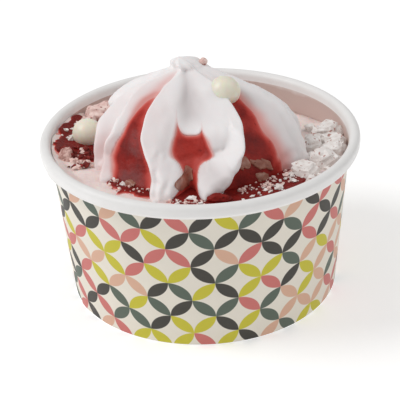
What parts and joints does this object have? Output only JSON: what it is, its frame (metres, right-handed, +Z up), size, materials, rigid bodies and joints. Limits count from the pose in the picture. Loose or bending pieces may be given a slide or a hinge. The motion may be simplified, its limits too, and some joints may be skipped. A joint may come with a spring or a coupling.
{
  "type": "filled paper dessert cup",
  "caption": "Round tapered paper cup with a rolled rim and recessed base, filled with ice cream, a ridged cream rosette, red sauce and small toppings.",
  "frame": {"origin": "centre of the cup's foot, on the surface that it stands on", "axes": "+Z up along the cup's axis, -Y towards the front of the rosette as pictured, +X to the right"},
  "size_m": [0.096, 0.096, 0.0724],
  "materials": {
    "printed_board": "coated board, white rim and inside, printed outside",
    "plain_board": "coated white board",
    "ice_cream": "pale pink, fine grained, slightly moist",
    "cream": "smooth off-white with a soft sheen",
    "sauce": "deep red, wet gloss",
    "white_chocolate": "ivory, soft gloss",
    "meringue": "dry, chalky white",
    "pink_crumb": "dry pink crumb"
  },
  "bodies": {
    "root": {"cup_wall": "printed_board", "cup_base": "plain_board", "ice_cream": "ice_cream", "cream_rosette": "cream", "berry_sauce": "sauce", "crown_ball": "white_chocolate", "pool_ball": "white_chocolate", "meringue_piece_1": "meringue", "meringue_piece_2": "meringue", "meringue_piece_3": "meringue", "meringue_piece_4": "meringue", "meringue_piece_5": "meringue", "meringue_piece_6": "meringue", "pink_piece_1": "pink_crumb", "pink_piece_2": "pink_crumb"}
  },
  "joints": []
}
